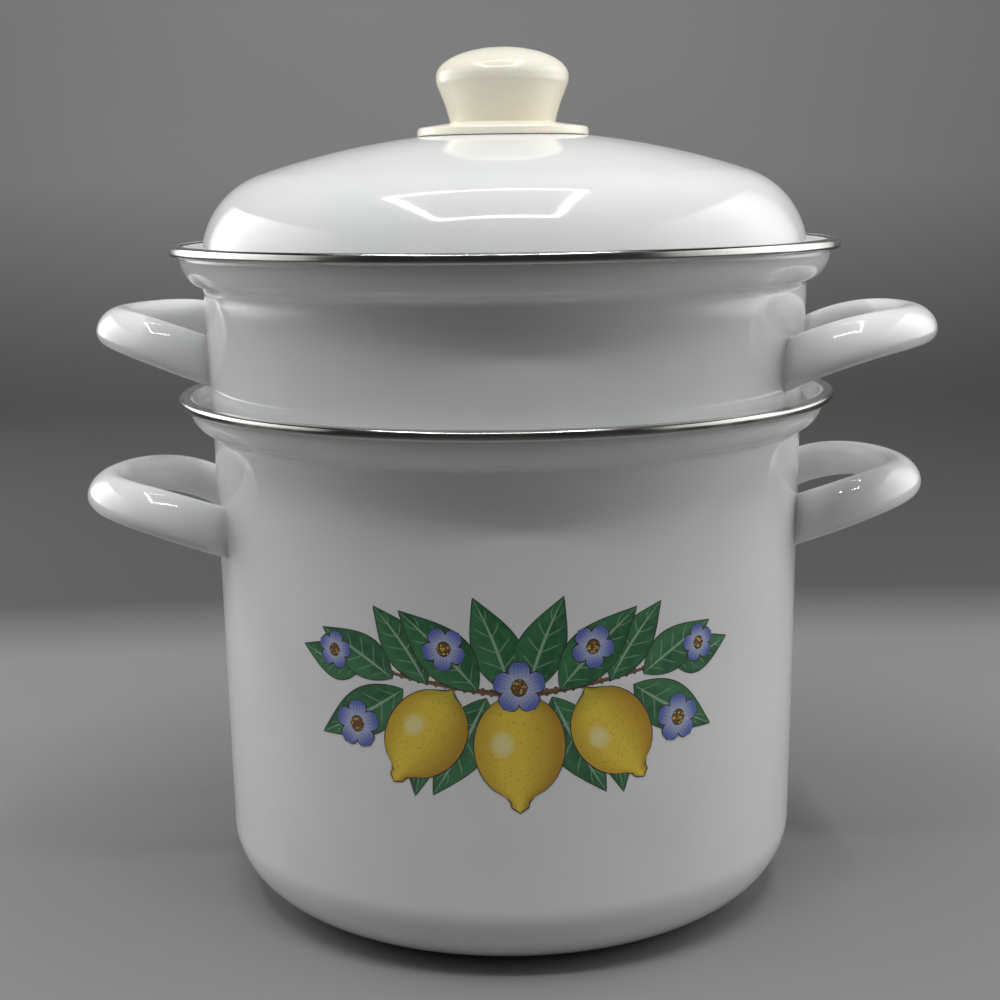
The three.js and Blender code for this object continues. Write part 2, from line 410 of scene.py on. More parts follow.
def white_enamel():
    """Glossy vitreous enamel: faint clouds, a few dark specks, slow waves and a fine orange peel."""
    material, tree, shader = new_material("white_enamel")
    clouds = rescale(tree, noise(tree, 22, 3), 0.35, 0.65)
    colour = blend_colours(tree, clouds, (0.82, 0.83, 0.83, 1), (0.86, 0.865, 0.86, 1))
    cells = add(tree, "ShaderNodeTexVoronoi", Scale=42, Vector=place(tree))
    chance = add(tree, "ShaderNodeSeparateColor", Color=cells.outputs["Color"]).outputs[0]
    near = calculate(tree, "LESS_THAN", cells.outputs["Distance"], 0.017)
    speck = calculate(tree, "MULTIPLY", near, calculate(tree, "GREATER_THAN", chance, 0.86))
    set_colour(tree, shader, speck, colour, (0.06, 0.055, 0.05, 1))
    set_roughness(tree, shader, noise(tree, 60, 3), 0.05, 0.12)
    shader.inputs["IOR"].default_value = GLAZE_IOR
    bumps(tree, shader, (noise(tree, 14, 1), 0.5), (noise(tree, 330, 2), 0.006))
    return material


def rim_steel():
    """Rolled stainless band: fine lines along it, rubbed patches and small dull spots."""
    material, tree, shader = new_material("rim_steel")
    lines = noise(tree, 1, 3, drawn_out(tree, 20, 2600))
    patches = noise(tree, 45, 4)
    spots = rescale(tree, noise(tree, 420, 3), 0.66, 0.8)
    colour = blend_colours(tree, patches, (0.46, 0.45, 0.43, 1), (0.58, 0.575, 0.555, 1))
    set_colour(tree, shader, spots, colour, (0.40, 0.37, 0.33, 1))
    shader.inputs["Metallic"].default_value = 1
    rubbed = rescale(tree, patches, 0.3, 0.7, 0.08, 0.2)
    lined = rescale(tree, lines, 0.3, 0.7, 0, 0.06)
    feed(tree, shader.inputs["Roughness"], calculate(tree, "ADD", rubbed, lined))
    bumps(tree, shader, (lines, 0.006), (noise(tree, 90, 2), 0.05))
    return material


def cream_plastic():
    """Glossy moulded plastic, a little deeper in colour in faint flow marks."""
    material, tree, shader = new_material("cream_plastic")
    flow = rescale(tree, noise(tree, 35, 3), 0.3, 0.7)
    set_colour(tree, shader, flow, (0.94, 0.89, 0.74, 1), (0.96, 0.92, 0.80, 1))
    set_roughness(tree, shader, noise(tree, 160, 3), 0.14, 0.24)
    shader.inputs["Subsurface Weight"].default_value = 0.12
    shader.inputs["Subsurface Radius"].default_value = (0.004, 0.003, 0.0015)
    bumps(tree, shader, (noise(tree, 26, 1), 0.15), (noise(tree, 500, 2), 0.004))
    return material


def turned_metal(name, dark, light, smoothest):
    """A plain turned or plated fixing, with fine marks round its axis."""
    material, tree, shader = new_material(name)
    marks = noise(tree, 1, 3, drawn_out(tree, 150, 3000))
    set_colour(tree, shader, noise(tree, 300, 3), dark, light)
    shader.inputs["Metallic"].default_value = 1
    set_roughness(tree, shader, marks, smoothest, smoothest + 0.15)
    bumps(tree, shader, (marks, 0.01))
    return material


# Pot, insert and their bands

def collar_outside(radius, crease, rise):
    """From the wall, round the crease and up the flared collar, into the band."""
    start = 0.22
    curve = arc(radius, crease + rise, COLLAR_REACH, rise, start - 1, 0)
    turn = bend((radius, crease - CREASE_BEND), (radius, crease), curve[0])
    return turn + curve[1:]


def lip(radius, crease, rise):
    """The folded edge that the band wraps."""
    low = crease + rise + BAND_THICKNESS + GAP
    high = low + BAND_HEIGHT - 2 * (BAND_THICKNESS + GAP)
    reach = radius + COLLAR_REACH + BAND_OVERHANG - BAND_THICKNESS - GAP
    inner = radius + COLLAR_REACH
    return rounded([(inner, low), (reach, low), (reach, high), (inner - WALL, high)], BAND_EDGE)


def collar_inside(radius, crease, rise):
    """From the lip down the inside of the collar to the ledge and over its edge."""
    curve = arc(radius, crease + rise, COLLAR_REACH - WALL, rise - WALL, 0, -1)
    edge = (radius - WALL, crease + WALL)
    return curve + bend(towards(edge, curve[-1], WALL), edge, (edge[0], edge[1] - 2 * WALL))[1:]


def pot_body(material):
    foot = POT_FOOT_WALL_RADIUS - POT_CORNER_REACH
    reach, rise = POT_CORNER_REACH, POT_CORNER_HEIGHT
    outline = [(0, 0), *arc(foot, rise, reach, rise, -1, 0, 2 * ARC_STEPS)]
    outline += collar_outside(POT_RADIUS, POT_CREASE, POT_COLLAR_RISE)
    outline += lip(POT_RADIUS, POT_CREASE, POT_COLLAR_RISE)
    outline += collar_inside(POT_RADIUS, POT_CREASE, POT_COLLAR_RISE)
    outline += arc(foot, rise, reach - WALL, rise - WALL, 0, -1, 2 * ARC_STEPS)
    outline.append((0, WALL))
    piece = make_object("pot_body", turned(outline), material)
    finish_piece(piece, "pot", "white_enamel", "pot_shell")


def rim_band(name, radius, crease, rise, material):
    """A rolled channel with round edges, a hair uneven round its length."""
    bottom = crease + rise
    top = bottom + BAND_HEIGHT
    outer = radius + COLLAR_REACH + BAND_OVERHANG - BAND_UNEVENNESS
    inner = radius + COLLAR_REACH + GAP
    low, high, hollow = bottom + BAND_THICKNESS, top - BAND_THICKNESS, outer - BAND_THICKNESS
    outside = rounded([(inner, bottom), (outer, bottom), (outer, top), (inner, top)], BAND_EDGE)
    inside = rounded([(inner, high), (hollow, high), (hollow, low), (inner, low)], BAND_EDGE - BAND_THICKNESS)

    def wobble(angle):
        long_waves = 0.5 * math.sin(7 * angle + radius)
        short_waves = 0.3 * math.sin(23 * angle) + 0.2 * math.sin(41 * angle + 1)
        return BAND_UNEVENNESS * (long_waves + short_waves)

    return make_object(name, turned(outside + inside, closed=True, wobble=wobble), material)


def hole_cutters():
    """One bmesh of drills whose ends flare, so that the holes get the soft edges that enamel has."""
    flare = [(HOLE_RADIUS + wider, -distance) for distance, wider in reversed(HOLE_FLARE)]
    half = [(0, flare[0][1]), *flare]
    outline = half + [(r, -z) for r, z in reversed(half)]
    places = [Matrix.Translation((0, 0, BASKET_FLOOR + WALL / 2))]
    for ring in range(1, FLOOR_RINGS + 1):
        holes = HOLES_PER_RING * ring
        for i in range(holes):
            turn = Matrix.Rotation(2 * math.pi * i / holes, 4, "Z")
            places.append(turn @ Matrix.Translation((ring * FLOOR_RING_SPACING, 0, BASKET_FLOOR + WALL / 2)))
    slope = (BASKET_TOP_RADIUS - BASKET_FOOT_WALL_RADIUS) / (STEP_HEIGHT - BASKET_FLOOR - BASKET_CORNER)
    for row in range(WALL_ROWS):
        height = LOWEST_WALL_ROW + row * WALL_ROW_SPACING
        radius = BASKET_FOOT_WALL_RADIUS + slope * (height - BASKET_FLOOR - BASKET_CORNER) - WALL / 2
        lie = Matrix.Translation((radius, 0, height)) @ Matrix.Rotation(math.pi / 2, 4, "Y")
        for i in range(HOLES_PER_ROW):
            places.append(Matrix.Rotation(2 * math.pi * (i + row / 2) / HOLES_PER_ROW, 4, "Z") @ lie)
    cutters = bmesh.new()
    drill = bpy.data.meshes.new("drill")
    single = turned(outline, HOLE_SEGMENTS)
    bmesh.ops.recalc_face_normals(single, faces=single.faces)
    single.to_mesh(drill)
    single.free()
    insert_turn = Matrix.Rotation(INSERT_TURN, 4, "Z")
    for matrix in places:
        before = len(cutters.verts)
        cutters.from_mesh(drill)
        cutters.verts.ensure_lookup_table()
        bmesh.ops.transform(cutters, matrix=insert_turn @ matrix, verts=cutters.verts[before:])
    bpy.data.meshes.remove(drill)
    return cutters


def cut(piece, cutters, material):
    """Subtracts the cutters from a piece and keeps the result as its mesh."""
    tool = make_object("cutters", cutters, material)
    modifier = piece.modifiers.new("holes", "BOOLEAN")
    modifier.object = tool
    modifier.operation = "DIFFERENCE"
    modifier.solver = "EXACT"
    graph = bpy.context.evaluated_depsgraph_get()
    mesh = bpy.data.meshes.new_from_object(piece.evaluated_get(graph))
    piece.modifiers.clear()
    piece.data = mesh
    mesh.set_sharp_from_angle(angle=SHARP_ANGLE)
    bpy.data.objects.remove(tool)


def insert_body(material):
    foot = BASKET_FOOT_WALL_RADIUS - BASKET_CORNER
    middle = BASKET_FLOOR + BASKET_CORNER
    outline = [(0, BASKET_FLOOR), *arc(foot, middle, BASKET_CORNER, BASKET_CORNER, -1, 0)]
    outline += rounded(
        [
            outline[-1],
            (BASKET_TOP_RADIUS, STEP_HEIGHT),
            (INSERT_WALL_FOOT_RADIUS, STEP_HEIGHT),
            (INSERT_RADIUS, INSERT_CREASE - 2 * CREASE_BEND),
        ],
        STEP_ROUNDING,
    )[1:]
    outline += collar_outside(INSERT_RADIUS, INSERT_CREASE, INSERT_COLLAR_RISE)
    outline += lip(INSERT_RADIUS, INSERT_CREASE, INSERT_COLLAR_RISE)
    inside = collar_inside(INSERT_RADIUS, INSERT_CREASE, INSERT_COLLAR_RISE)
    floor = arc(foot, middle, BASKET_CORNER - WALL, BASKET_CORNER - WALL, 0, -1)
    step = [
        inside[-1],
        (INSERT_WALL_FOOT_RADIUS - WALL, STEP_HEIGHT + WALL),
        (BASKET_TOP_RADIUS - WALL, STEP_HEIGHT + WALL),
        floor[0],
    ]
    outline += inside + rounded(step, STEP_ROUNDING_INSIDE)[1:] + floor[1:]
    outline.append((0, BASKET_FLOOR + WALL))
    piece = make_object("insert_body", turned(outline), material)
    cut(piece, hole_cutters(), material)
    finish_piece(piece, "insert", "white_enamel", "insert_shell")


# Handles

class Handle:
    """The bent oval bar of one handle, measured along its length and round its section."""

    def __init__(self, bow_height, wall_radius_at):
        self.bow_height = bow_height
        self.wall_radius_at = wall_radius_at
        root = wall_radius_at(bow_height) - HANDLE_ROOT_DEPTH
        self.root_angle = math.acos((root - LOOP_CENTRE) / LOOP_REACH)

    def surface(self, along, angle, swell=0.0):
        """A point of the bar's skin, moved out by swell."""
        turn = self.root_angle * (2 * along - 1)
        sine, cosine = math.sin(turn), math.cos(turn)
        back = 1 - cosine
        height = self.bow_height - LOOP_DROP * back ** 2
        centre = Vector((LOOP_CENTRE + LOOP_REACH * cosine, LOOP_HALF_WIDTH * sine, height))
        slope = -2 * LOOP_DROP * back * sine
        tangent = Vector((-LOOP_REACH * sine, LOOP_HALF_WIDTH * cosine, slope)).normalized()
        across = tangent.cross(Vector((0, 0, 1))).normalized()
        upward = across.cross(tangent)
        bow_share = (1 + cosine) / 2
        half_thickness = ROOT_HALF_THICKNESS + (BOW_HALF_THICKNESS - ROOT_HALF_THICKNESS) * bow_share + swell
        half_breadth = ROOT_HALF_BREADTH + (BOW_HALF_BREADTH - ROOT_HALF_BREADTH) * bow_share + swell
        section = Vector((half_thickness * math.cos(angle), half_breadth * math.sin(angle)))
        section.rotate(Matrix.Rotation(BOW_LEAN * bow_share, 2))
        return centre + across * section.x + upward * section.y

    def depth_outside_wall(self, place):
        return math.hypot(place.x, place.y) - self.wall_radius_at(place.z)

    def meets_wall(self, angle):
        """How far along the bar the line at this angle comes out of the wall."""
        low, high = 0.0, 0.3
        for _ in range(30):
            middle = (low + high) / 2
            if self.depth_outside_wall(self.surface(middle, angle)) < 0:
                low = middle
            else:
                high = middle
        return low

    def ring_shares(self):
        """Shares of the way from root to root, closer together in the fillets at the roots."""
        fillet = 0.03
        close = [fillet * (i / 8) ** 1.5 for i in range(8)]
        middle = [fillet + (1 - 2 * fillet) * i / HANDLE_STEPS for i in range(HANDLE_STEPS + 1)]
        return close + middle + [1 - share for share in reversed(close)]

    def mesh(self):
        data = bmesh.new()
        angles = [2 * math.pi * i / HANDLE_SIDES for i in range(HANDLE_SIDES)]
        roots = [self.meets_wall(angle) for angle in angles]
        rings = []
        for share in self.ring_shares():
            ring = []
            for angle, root in zip(angles, roots):
                along = root + (1 - 2 * root) * share
                ring.append(data.verts.new(self.skin(along, angle)))
            rings.append(ring)
        join_rings(data, rings, False)
        for ring in (rings[0], rings[-1]):
            self.bury(ring)
            data.faces.new(ring)
        return data

    def skin(self, along, angle):
        """A point of the bar with the weld's fillet, which grows towards the wall."""
        depth = max(0.0, self.depth_outside_wall(self.surface(along, angle)))
        swell = 0.0
        if depth < ROOT_FILLET:
            swell = ROOT_FILLET - math.sqrt(ROOT_FILLET ** 2 - (ROOT_FILLET - depth) ** 2)
        return self.surface(along, angle, swell)

    def bury(self, ring):
        """Puts the end ring just under the wall's face."""
        for corner in ring:
            radius = self.wall_radius_at(corner.co.z) - GAP
            flat = Vector((corner.co.x, corner.co.y, 0)).normalized() * radius
            corner.co = (flat.x, flat.y, corner.co.z)


def straight_wall(low_radius, low_height, high_radius, high_height):
    """The radius of a wall that widens evenly, as a function of height."""
    slope = (high_radius - low_radius) / (high_height - low_height)
    return lambda height: low_radius + slope * (height - low_height)


def handle_pair(owner, bow_height, wall, turn, material):
    for side, half_turn in (("right", 0), ("left", math.pi)):
        data = Handle(bow_height, wall).mesh()
        bmesh.ops.rotate(data, matrix=Matrix.Rotation(turn + half_turn, 3, "Z"), verts=data.verts)
        piece = make_object(f"{owner}_loop_{side}", data, material)
        finish_piece(piece, owner, "white_enamel", f"{owner}_handle_{side}")


# Lid, knob and fixings

def crown_height(radius, depth=0.0):
    sphere = LID_CROWN_RADIUS - depth
    return LID_TOP - LID_CROWN_RADIUS + math.sqrt(sphere ** 2 - radius ** 2)


def lid_face(depth):
    """Crown and shoulder, a given depth under the outer face, from the screw hole to the wall."""
    shoulder = LID_SHOULDER_RADIUS - depth
    centre_r = LID_RADIUS - LID_SHOULDER_RADIUS
    reach = LID_CROWN_RADIUS - LID_SHOULDER_RADIUS
    centre_z = LID_TOP - LID_CROWN_RADIUS + math.sqrt(reach ** 2 - centre_r ** 2)
    meeting = 1 - math.asin(centre_r / reach) / (math.pi / 2)
    edge = (LID_CROWN_RADIUS - depth) * centre_r / reach
    steps = 2 * ARC_STEPS
    radii = [LID_SCREW_HOLE_RADIUS + (edge - LID_SCREW_HOLE_RADIUS) * i / steps for i in range(steps)]
    crown = [(radius, crown_height(radius, depth)) for radius in radii]
    return crown + arc(centre_r, centre_z, shoulder, shoulder, meeting, 0, steps)


def lid_dome(material):
    bottom = LID_BRIM_HEIGHT
    inner_face = lid_face(LID_WALL)
    outer_face = lid_face(0)
    brim = rounded(
        [
            inner_face[-1],
            (LID_RADIUS - LID_WALL, bottom),
            (LID_BRIM_RADIUS, bottom),
            (LID_BRIM_RADIUS, bottom + LID_WALL),
            (LID_RADIUS, bottom + LID_WALL),
            outer_face[-1],
        ],
        LID_BRIM_ROUNDING,
    )
    outline = inner_face + brim[1:-1] + outer_face[::-1]
    piece = make_object("lid_dome", turned(outline, closed=True), material)
    finish_piece(piece, "lid", "white_enamel", "lid_shell")


def knob(material):
    underside = LID_TOP + GAP
    bush_top = underside + BUSH_LENGTH + GAP
    seat = crown_height(KNOB_FLANGE_RADIUS) + GAP
    edge = KNOB_FLANGE_RADIUS
    flange_top = seat + KNOB_FLANGE_EDGE
    bore = BUSH_RADIUS + GAP
    under = [(0, bush_top), (bore, bush_top), (bore, underside), (edge - 2 * KNOB_REST_WIDTH, underside)]
    dome_foot = KNOB_TOP - KNOB_DOME
    neck = spline([*[(radius, KNOB_TOP - depth) for radius, depth in KNOB_NECK], (KNOB_RADIUS, dome_foot)])
    flange = [(edge - KNOB_REST_WIDTH, seat), (edge, seat), (edge - KNOB_FLANGE_TAPER, flange_top)]
    foot_steps = 4
    rim = rounded([*flange, neck[0], neck[foot_steps]], KNOB_FLANGE_ROUNDING)
    dome = arc(0, dome_foot, KNOB_RADIUS, KNOB_DOME, 0, 1, 3 * ARC_STEPS)
    outline = under + rim + neck[foot_steps + 1:] + dome[1:]
    piece = make_object("knob", turned(outline, KNOB_SEGMENTS), material)
    finish_piece(piece, "lid", "cream_plastic", "lid_knob")


def washer(material):
    top = crown_height(WASHER_RADIUS, LID_WALL) - GAP
    low = top - WASHER_THICKNESS
    outline = [
        (WASHER_BORE, low),
        (WASHER_RADIUS - WASHER_EDGE, low),
        (WASHER_RADIUS, low + WASHER_EDGE),
        (WASHER_RADIUS, top - WASHER_EDGE),
        (WASHER_RADIUS - WASHER_EDGE, top),
        (WASHER_BORE, top),
    ]
    piece = make_object("washer", turned(outline, FIXING_SEGMENTS, closed=True), material)
    finish_piece(piece, "lid", "fixing_steel", "knob_washer")


def screw(material):
    """A pan head screw with a cross recess in its head, which faces down into the pot."""
    seat = crown_height(WASHER_RADIUS, LID_WALL) - WASHER_THICKNESS - 2 * GAP
    head = seat - SCREW_HEAD_HEIGHT
    tip = LID_TOP + BUSH_LENGTH - GAP
    wide, slim = SCREW_HEAD_RADIUS, SCREW_RADIUS
    flat = wide - SCREW_HEAD_ROUND_WIDTH
    round_edge = bend((flat, head), (wide, head), (wide, head + SCREW_HEAD_ROUND_HEIGHT))
    outline = [(0, head), *round_edge, (wide, seat), (slim, seat), (slim, tip), (0, tip)]
    piece = make_object("screw", turned(outline, FIXING_SEGMENTS), material)
    recess = bmesh.new()
    for length, width in ((RECESS_LENGTH, RECESS_WIDTH), (RECESS_WIDTH, RECESS_LENGTH)):
        size = Matrix.Diagonal((length, width, 2 * RECESS_DEPTH, 1))
        bmesh.ops.create_cube(recess, matrix=Matrix.Translation((0, 0, head)) @ size)
    cut(piece, recess, material)
    finish_piece(piece, "lid", "fixing_steel", "knob_screw")


# Printed motif: a mirrored sprig of lemons, leaves and small blossoms

def leaf_shape(t):
    return math.sin(math.pi * t ** 0.8) ** 1.05


def lemon_shape(t):
    def oval(middle, half):
        return math.sqrt(max(0.0, 1 - ((t - middle) / half) ** 2))

    return max(oval(0.47, 0.42), 0.2 * oval(0.92, 0.08), 0.15 * oval(0.06, 0.06))


def petal_shape(t):
    return 1.22 * math.sqrt(t * (1 - t ** 4))


def round_shape(t):
    return math.sqrt(max(0.0, 1 - (2 * t - 1) ** 2))


def twig_shape(t):
    return 1 - 0.75 * t


class Print:
    """Shapes of one colour, each a thin closed slab that follows the pot's wall."""

    def __init__(self, wall):
        self.wall = wall
        self.data = bmesh.new()
        self.uv = self.data.loops.layers.uv.new("UVMap")

    def on_wall(self, u, v, lift):
        height = PRINT_HEIGHT + v
        radius = self.wall(height) + lift
        angle = (u + PRINT_SHIFT) / POT_RADIUS - math.pi / 2
        return (radius * math.cos(angle), radius * math.sin(angle), height)

    def blade(self, shape, start, degrees, length, half_width, layer, curve, ink=0.0, steps=22, lanes=8):
        """A shape along an axis from start. Its half width follows shape(t), and ink widens it all round."""
        ahead = Vector((math.cos(math.radians(degrees)), math.sin(math.radians(degrees))))
        aside = Vector((-ahead.y, ahead.x))
        grids = []
        for lift in (layer * PRINT_LAYER, -PRINT_BURIED):
            grid = []
            for i in range(steps + 1):
                run = -ink + (length + 2 * ink) * i / steps
                t = min(max(run / length, 0.0), 1.0)
                beyond = abs(run - t * length)
                width = half_width * shape(t) + math.sqrt(max(0.0, ink ** 2 - beyond ** 2)) + PRINT_TIP
                centre = Vector(start) + ahead * run + aside * (curve * length * t ** 2)
                row = []
                for j in range(lanes + 1):
                    side = 2 * j / lanes - 1
                    spot = centre + aside * (side * width)
                    row.append((self.data.verts.new(self.on_wall(spot.x, spot.y, lift)), (t, (side + 1) / 2)))
                grid.append(row)
            grids.append(grid)
        self.close(grids[0], grids[1])

    def close(self, top, bottom):
        """Faces on both sides of a slab and round its edge."""
        steps, lanes = len(top) - 1, len(top[0]) - 1
        for i in range(steps):
            for j in range(lanes):
                self.face(top[i][j], top[i + 1][j], top[i + 1][j + 1], top[i][j + 1])
                self.face(bottom[i][j], bottom[i][j + 1], bottom[i + 1][j + 1], bottom[i + 1][j])
        for i in range(steps):
            for j in (0, lanes):
                self.face(top[i][j], bottom[i][j], bottom[i + 1][j], top[i + 1][j])
        for j in range(lanes):
            for i in (0, steps):
                self.face(top[i][j], top[i][j + 1], bottom[i][j + 1], bottom[i][j])

    def face(self, *corners):
        face = self.data.faces.new([vertex for vertex, _ in corners])
        for loop, (_, spot) in zip(face.loops, corners):
            loop[self.uv].uv = spot


def sprig():
    """Every shape of the motif, as kind, outline, start, direction, length, half width, layer and curve."""
    shapes = [("lemon", lemon_shape, (0, 8), -90, 47, 16.5, 5, 0.0)]
    right_half = [
        ("twig", twig_shape, (0, 5), 6, 74, 1.1, 0, 0.06),
        ("leaf", leaf_shape, (3, 6), 76, 37, 8.6, 2, -0.12),
        ("leaf", leaf_shape, (15, 7), 50, 40, 9.2, 3, -0.10),
        ("leaf", leaf_shape, (34, 9), 63, 33, 8.0, 2, -0.16),
        ("leaf", leaf_shape, (47, 10), 34, 33, 7.8, 3, -0.10),
        ("leaf", leaf_shape, (60, 12), 4, 26, 6.4, 2, 0.16),
        ("leaf", leaf_shape, (12, 4), -66, 42, 9.4, 1, 0.08),
        ("leaf", leaf_shape, (43, 6), -36, 40, 8.8, 3, 0.10),
        ("leaf", leaf_shape, (34, 4), -88, 38, 8.2, 1, 0.10),
        ("lemon", lemon_shape, (24, 7), -60, 43, 14.5, 4, 0.05),
    ]
    for (u, v), radius, turn in BLOSSOMS:
        for i in range(PETALS):
            degrees = turn + 360 / PETALS * i
            half_width = PETAL_HALF_WIDTH * radius
            right_half.append(("petal", petal_shape, (u, v), degrees, radius, half_width, 6, 0.0))
        eye_radius = EYE_SHARE * radius
        right_half.append(("eye", round_shape, (u - eye_radius, v), 0, 2 * eye_radius, eye_radius, 7, 0.0))
    for kind, outline, (u, v), degrees, length, half_width, layer, curve in right_half:
        shapes.append((kind, outline, (u, v), degrees, length, half_width, layer, curve))
        if u > 0 or kind in ("twig", "leaf"):
            shapes.append((kind, outline, (-u, v), 180 - degrees, length, half_width, layer, -curve))
    return shapes


def printed_motif(wall):
    """The sprig in one piece per colour, with a dark ink line round every shape."""
    paints = {
        "twig": twig_paint(),
        "leaf": leaf_paint(),
        "lemon": lemon_paint(),
        "petal": petal_paint(),
        "eye": eye_paint(),
    }
    prints = {kind: Print(wall) for kind in (*paints, "ink")}
    for kind, outline, start, degrees, length, half_width, layer, curve in sprig():
        prints["ink"].blade(outline, start, degrees, length, half_width, 2 * layer + 1, curve, INK_WIDTH)
        prints[kind].blade(outline, start, degrees, length, half_width, 2 * layer + 2, curve)
    for kind, material in (*paints.items(), ("ink", ink_paint())):
        piece = make_object(f"print_{kind}", prints[kind].data, material)
        finish_piece(piece, "pot", "white_enamel")


def paint_material(name):
    """A printed glaze: the material, its tree and shader, and the place along and across a shape."""
    material, tree, shader = new_material(name)
    shader.inputs["IOR"].default_value = GLAZE_IOR
    set_roughness(tree, shader, noise(tree, 60, 3), 0.07, 0.14)
    spot = add(tree, "ShaderNodeSeparateXYZ", Vector=tree.nodes.new("ShaderNodeUVMap").outputs[0])
    across = calculate(tree, "MULTIPLY_ADD", spot.outputs[1], 2.0)
    across.node.inputs[2].default_value = -1
    return material, tree, shader, spot.outputs[0], across


def leaf_paint():
    material, tree, shader, along, across = paint_material("print_leaf")
    edge = calculate(tree, "ABSOLUTE", across)
    tone = rescale(tree, noise(tree, 240, 4), 0.3, 0.7)
    green = blend_colours(tree, tone, (0.022, 0.105, 0.045, 1), (0.045, 0.19, 0.078, 1))
    green = blend_colours(tree, rescale(tree, across, -0.2, 0.6, 0, 0.45), green, (0.075, 0.26, 0.105, 1))
    slanted = calculate(tree, "SUBTRACT", calculate(tree, "MULTIPLY", along, 6.0), edge)
    from_vein = calculate(tree, "SUBTRACT", calculate(tree, "FRACT", slanted), 0.5)
    side_vein = rescale(tree, calculate(tree, "ABSOLUTE", from_vein), 0.02, 0.07, 0.5, 0)
    middle_vein = rescale(tree, edge, 0.03, 0.09, 0.85, 0)
    veins = calculate(tree, "MAXIMUM", side_vein, middle_vein)
    inside = rescale(tree, edge, 0.55, 0.85, 1, 0)
    set_colour(tree, shader, calculate(tree, "MULTIPLY", veins, inside), green, (0.36, 0.52, 0.38, 1))
    return material


def lemon_paint():
    material, tree, shader, along, across = paint_material("print_lemon")
    edge = calculate(tree, "ABSOLUTE", calculate(tree, "ADD", across, 0.18))
    round_shade = rescale(tree, edge, 0.25, 1.1)
    yellow = blend_colours(tree, round_shade, (0.88, 0.64, 0.06, 1), (0.50, 0.28, 0.02, 1))
    green_end = rescale(tree, along, 0.22, 0.02, 0, 0.6)
    yellow = blend_colours(tree, green_end, yellow, (0.26, 0.30, 0.04, 1))
    pores = add(tree, "ShaderNodeTexVoronoi", Scale=620, Vector=place(tree)).outputs["Distance"]
    yellow = blend_colours(tree, rescale(tree, pores, 0.28, 0.16, 0, 0.5), yellow, (0.42, 0.24, 0.03, 1))
    gleam_across = calculate(tree, "POWER", calculate(tree, "ADD", across, 0.38), 2.0)
    from_gleam = calculate(tree, "SUBTRACT", along, 0.45)
    gleam_along = calculate(tree, "POWER", calculate(tree, "MULTIPLY", from_gleam, 2.6), 2.0)
    gleam = rescale(tree, calculate(tree, "ADD", gleam_across, gleam_along), 0.02, 0.10, 0.75, 0)
    set_colour(tree, shader, gleam, yellow, (0.90, 0.82, 0.42, 1))
    return material


def petal_paint():
    material, tree, shader, along, across = paint_material("print_petal")
    blue = blend_colours(tree, rescale(tree, along, 0.15, 0.85), (0.62, 0.66, 0.80, 1), (0.13, 0.18, 0.52, 1))
    veins = calculate(tree, "SINE", calculate(tree, "MULTIPLY", across, 16.0))
    set_colour(tree, shader, rescale(tree, veins, 0.4, 1, 0, 0.35), blue, (0.07, 0.09, 0.30, 1))
    return material


def eye_paint():
    material, tree, shader, _, _ = paint_material("print_eye")
    dots = add(tree, "ShaderNodeTexVoronoi", Scale=900, Vector=place(tree)).outputs["Distance"]
    set_colour(tree, shader, rescale(tree, dots, 0.2, 0.45), (0.80, 0.60, 0.12, 1), (0.16, 0.08, 0.03, 1))
    return material


def twig_paint():
    material, tree, shader, _, across = paint_material("print_twig")
    bark = blend_colours(tree, noise(tree, 500, 3), (0.08, 0.045, 0.03, 1), (0.22, 0.13, 0.07, 1))
    set_colour(tree, shader, rescale(tree, across, -0.2, 0.8, 0, 0.5), bark, (0.34, 0.22, 0.12, 1))
    return material


def ink_paint():
    material, tree, shader, _, _ = paint_material("print_ink")
    set_colour(tree, shader, noise(tree, 400, 3), (0.03, 0.022, 0.018, 1), (0.07, 0.05, 0.04, 1))
    return material


# Stage, light and camera

def floor_and_backdrop():
    """One grey sheet along the floor and up behind the object, with a painted pool of light round the object,
    painted shade beyond it and painted light again up the backdrop.
    """
    material, tree, shader = new_material("studio_sheet")
    cloth = blend_colours(tree, noise(tree, 3, 2), grey(SHEET_GREYS[0]), grey(SHEET_GREYS[1]))
    # Painted pool of light in an oval round the object, painted shade beyond it, and painted light again
    # above a height
    oval = add(tree, "ShaderNodeMapping", Vector=place(tree))
    oval.inputs["Scale"].default_value = (LIGHT_POOL_SQUEEZE, 1, 1)
    nearness = add(tree, "ShaderNodeTexGradient", Vector=oval.outputs[0])
    nearness.gradient_type = "SPHERICAL"
    around = rescale(tree, nearness.outputs["Fac"], *LIGHT_POOL_FADE, PAINTED_FAR_SHADE, 1)
    height_above = add(tree, "ShaderNodeSeparateXYZ", Vector=place(tree)).outputs[2]
    above = rescale(tree, height_above, 0, PAINTED_LIGHT_HEIGHT, PAINTED_FAR_SHADE, 1)
    set_colour(tree, shader, calculate(tree, "MAXIMUM", around, above), grey(0), cloth)
    shader.inputs["Roughness"].default_value = 0.7
    rise = arc(SHEET_DEPTH, SHEET_CURVE, SHEET_CURVE, SHEET_CURVE, -1, 0, 24)
    line = [(SHEET_FRONT, 0), *rise, (SHEET_DEPTH + SHEET_CURVE, SHEET_HEIGHT)]
    data = bmesh.new()
    rows = [[data.verts.new((side * SHEET_HALF_WIDTH, y, z)) for side in (-1, 1)] for y, z in line]
    for low, high in zip(rows, rows[1:]):
        data.faces.new((low[0], low[1], high[1], high[0]))
    sheet = make_object("studio_sheet", data, material)


